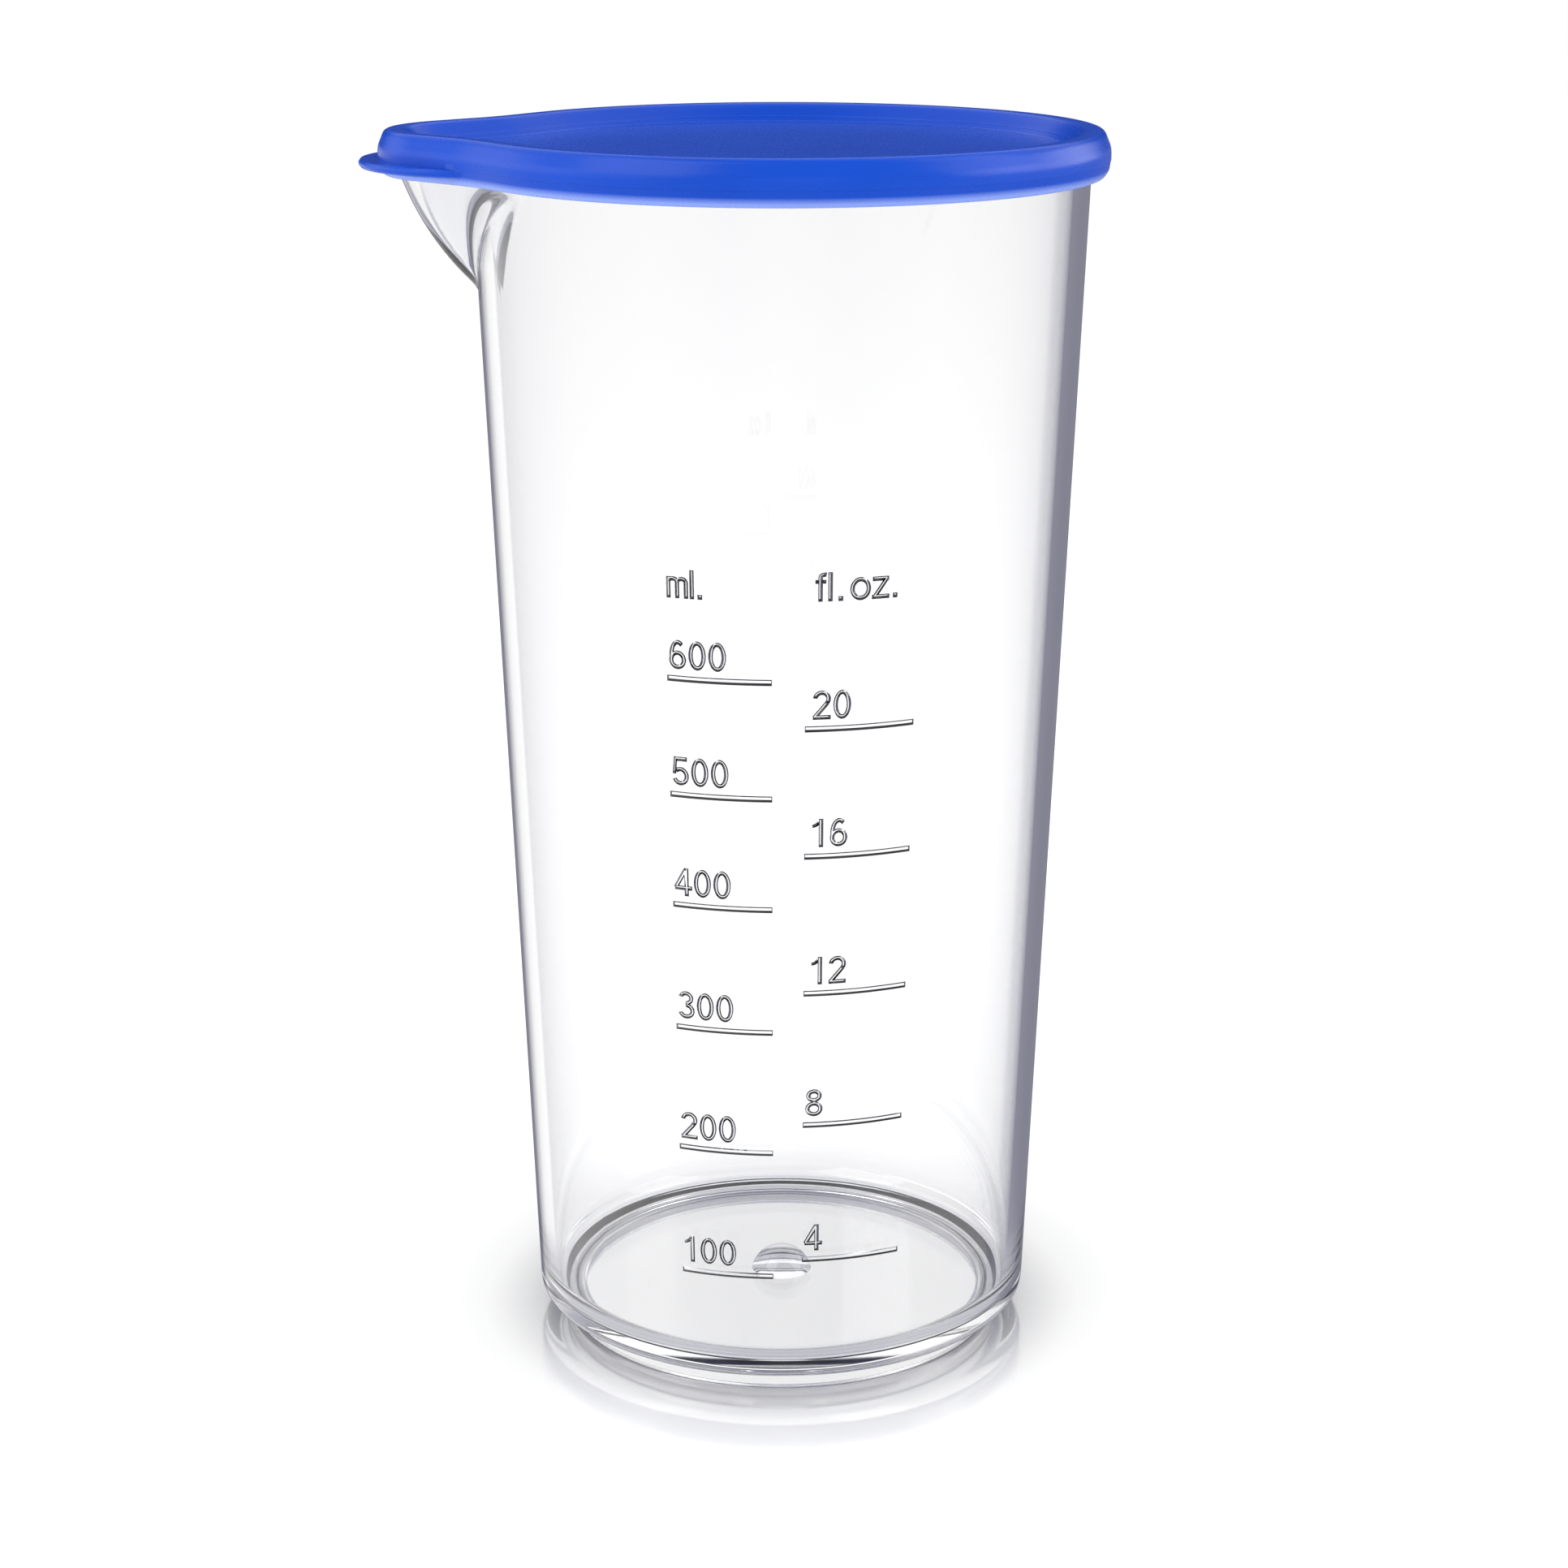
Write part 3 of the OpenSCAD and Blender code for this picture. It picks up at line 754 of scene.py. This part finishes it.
def floor_material():
    """A pale floor with painted shade round the foot, polished there too; reflections see past it."""
    material, nodes, links, shader = new_material("studio_floor")
    shader.inputs["Roughness"].default_value = 0.9
    shader.inputs["Specular IOR Level"].default_value = 0.0
    place = nodes.new("ShaderNodeTexCoord")
    length = nodes.new("ShaderNodeVectorMath")
    length.operation = "LENGTH"
    links.new(place.outputs["Object"], length.inputs[0])
    from_axis = length.outputs["Value"]
    outside = map_range(nodes, links, from_axis, ((FOOT_R - FOOT_W) * MM, FOOT_R * MM), smooth=True)

    # painted shadow: outside the foot ring an occlusion node darkens the floor's colour towards
    # CONTACT_SHADE near the beaker, not the lamps
    contact = nodes.new("ShaderNodeAmbientOcclusion")
    contact.inputs["Distance"].default_value = CONTACT_R * MM
    contact.samples = 8
    hidden_sky = combine(nodes, links, "SUBTRACT", 1.0, contact.outputs["AO"])
    shade = combine(nodes, links, "MULTIPLY", hidden_sky, outside)
    colour = blend_colours(nodes, links, shade, FLOOR_WHITE, CONTACT_SHADE)
    links.new(colour, shader.inputs["Base Color"])

    mirror = nodes.new("ShaderNodeBsdfGlossy")
    mirror.inputs["Roughness"].default_value = 0.12
    polish = map_range(nodes, links, from_axis, (POLISH_R * MM, 0.6 * POLISH_R * MM), 0.0, POLISH,
                       smooth=True)
    polish = combine(nodes, links, "MULTIPLY", polish, outside)
    surface = blend_shaders(nodes, links, polish, shader.outputs["BSDF"], mirror.outputs["BSDF"])
    clear = nodes.new("ShaderNodeBsdfTransparent")
    surface = blend_shaders(nodes, links, happened(nodes, links, "Glossy Depth"), surface,
                            clear.outputs["BSDF"])
    links.new(surface, nodes["Material Output"].inputs["Surface"])
    return material


# ------------------------------------------------------------------ studio
def make_floor():
    half = 8.0               # metres
    mesh = bpy.data.meshes.new("studio_floor")
    mesh.from_pydata([(-half, -half, 0), (half, -half, 0), (half, half, 0), (-half, half, 0)],
                     [], [(0, 1, 2, 3)])
    mesh.materials.append(floor_material())
    floor = bpy.data.objects.new("studio_floor", mesh)
    bpy.context.scene.collection.objects.link(floor)


def area_light(name, place, aim, size, power):
    light = bpy.data.lights.new(name, "AREA")
    light.shape = "RECTANGLE"
    light.size, light.size_y = size
    light.energy = power
    lamp = bpy.data.objects.new(name, light)
    lamp.location = place
    lamp.rotation_euler = (Vector(aim) - Vector(place)).to_track_quat("-Z", "Y").to_euler()
    bpy.context.scene.collection.objects.link(lamp)


def fill_ramp(ramp, stops):
    """Sets a colour ramp from (position, grey level) pairs; the darker greys lean to violet."""
    elements = ramp.color_ramp.elements
    while len(elements) > 1:
        elements.remove(elements[0])
    for i, (position, level) in enumerate(stops):
        element = elements[0] if i == 0 else elements.new(position)
        element.position = position
        element.color = (level, level, level * (1.25 if level < 0.5 else 1.0), 1)


def make_world():
    """Plain white to look at, and a studio of soft boxes and dark flags in reflections.

    Round the ramps 0 is left, 0.25 front, 0.5 right and 0.75 back. Heights are the sines of
    the elevation. A narrow black flag behind and above the object is also seen through the
    plastic, where its edges bend light upwards.
    """
    world = bpy.data.worlds.new("studio")
    bpy.context.scene.world = world
    world.use_nodes = True
    nodes, links = world.node_tree.nodes, world.node_tree.links
    place = nodes.new("ShaderNodeTexCoord")
    split = nodes.new("ShaderNodeSeparateXYZ")
    around = nodes.new("ShaderNodeTexGradient")
    around.gradient_type = "RADIAL"
    links.new(place.outputs["Generated"], split.inputs["Vector"])
    links.new(place.outputs["Generated"], around.inputs["Vector"])
    flag_edge = (FLAG_TOP - 0.005, FLAG_TOP + 0.02)

    def ring_of(stops):
        ramp = nodes.new("ShaderNodeValToRGB")
        fill_ramp(ramp, stops)
        links.new(around.outputs["Fac"], ramp.inputs["Fac"])
        return ramp.outputs["Color"]

    def step_at(ends):
        return map_range(nodes, links, split.outputs["Z"], ends, smooth=True)

    # what light bent inside the clear plastic reaches
    low = ring_of([(0.0, 1.0), (0.25, 1.1), (0.42, 0.9), (0.5, 0.7), (0.6, 0.30),
                   (0.68, 0.22), (0.75, 0.25), (0.805, 0.22), (0.825, 1.0)])
    high = ring_of([(0.0, 1.0), (0.2, 0.9), (0.42, 1.0), (0.56, 0.9), (0.62, 0.40),
                    (0.88, 0.40), (0.94, 0.9)])
    ground = (0.55, 0.55, 0.60, 1)
    ceiling = (1.1, 1.1, 1.1, 1)
    horizon = step_at((-0.03, 0.03))
    above = step_at(flag_edge)
    inner = blend_colours(nodes, links, step_at((-0.40, -0.50)), low, ground)
    inner = blend_colours(nodes, links, horizon, inner, high)
    inner = blend_colours(nodes, links, above, inner, ceiling)

    # what outer faces mirror
    side_low = ring_of([(0.0, 1.0), (0.12, 0.9), (0.20, 0.45), (0.25, 0.55), (0.32, 0.35),
                        (0.42, 0.9), (0.5, 0.7), (0.6, 0.30), (0.68, 0.22), (0.75, 0.25),
                        (0.805, 0.22), (0.825, 1.0)])
    side_boxes = ring_of([(0.0, 2.6), (0.1, 1.8), (0.17, 0.40), (0.22, 0.40), (0.27, 1.2),
                          (0.32, 0.20), (0.42, 0.5), (0.47, 4.0), (0.6, 3.0), (0.66, 0.02),
                          (0.85, 0.02), (0.95, 2.0)])
    side_tops = ring_of([(0.0, 0.8), (0.08, 0.1), (0.42, 0.1), (0.5, 1.2), (0.6, 0.9),
                         (0.9, 0.9)])
    outer = blend_colours(nodes, links, horizon, side_low, side_boxes)
    outer = blend_colours(nodes, links, above, outer, side_tops)
    studio = blend_colours(nodes, links, happened(nodes, links, "Transmission Depth"), outer, inner)

    # the flag in the plain white
    white, black = (1, 1, 1, 1), (0, 0, 0, 1)
    path = nodes.new("ShaderNodeLightPath")
    behind = ring_of([(0.60, 0.0), (0.64, 1.0), (0.86, 1.0), (0.90, 0.0)])
    flag = combine(nodes, links, "MULTIPLY", step_at((FLAG_LOW, FLAG_LOW + 0.02)),
                   step_at(flag_edge[::-1]))
    flag = combine(nodes, links, "MULTIPLY", flag, path.outputs["Is Transmission Ray"])
    flag = combine(nodes, links, "MULTIPLY", flag, behind)
    plain = blend_colours(nodes, links, flag, white, black)

    seen = blend_colours(nodes, links, happened(nodes, links, "Glossy Depth"), plain, studio)
    background = nodes["Background"]
    background.inputs["Strength"].default_value = 1.02
    links.new(seen, background.inputs["Color"])


def make_studio():
    make_floor()
    make_world()
    middle = (0, 0, 0.1)
    area_light("key_left", (-0.7, -0.5, 0.9), middle, (0.8, 0.8), 5)
    area_light("fill_right", (0.9, -0.2, 0.7), middle, (0.6, 0.9), 3)
    scene = bpy.context.scene
    scene.view_settings.view_transform = "Standard"
    scene.view_settings.look = "None"
    scene.cycles.max_bounces = 24
    scene.cycles.glossy_bounces = 12
    scene.cycles.transmission_bounces = 20


def make_camera():
    """The camera stands in front and a little above the lid, and looks down."""
    tilt_down = 16.29
    data = bpy.data.cameras.new("camera")
    data.sensor_width = 36
    data.lens = 75.16
    camera = bpy.data.objects.new("camera", data)
    camera.location = (0.00044, -0.5117, 0.2397)
    camera.rotation_euler = (math.radians(90 - tilt_down), 0, 0)
    bpy.context.scene.collection.objects.link(camera)
    bpy.context.scene.camera = camera


make_camera()
make_studio()
beaker = make_beaker([clear_plastic("clear_plastic", CLEAR),
                      clear_plastic("clear_under_edge_painted_shade", UNDER_EDGE_PAINTED_SHADE),
                      clear_plastic("clear_side_edge_painted_shade", SIDE_EDGE_PAINTED_SHADE)])
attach(beaker, "beaker")
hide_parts("beaker")
lid = make_lid([blue_plastic()])
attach(lid, "lid")
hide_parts("lid")
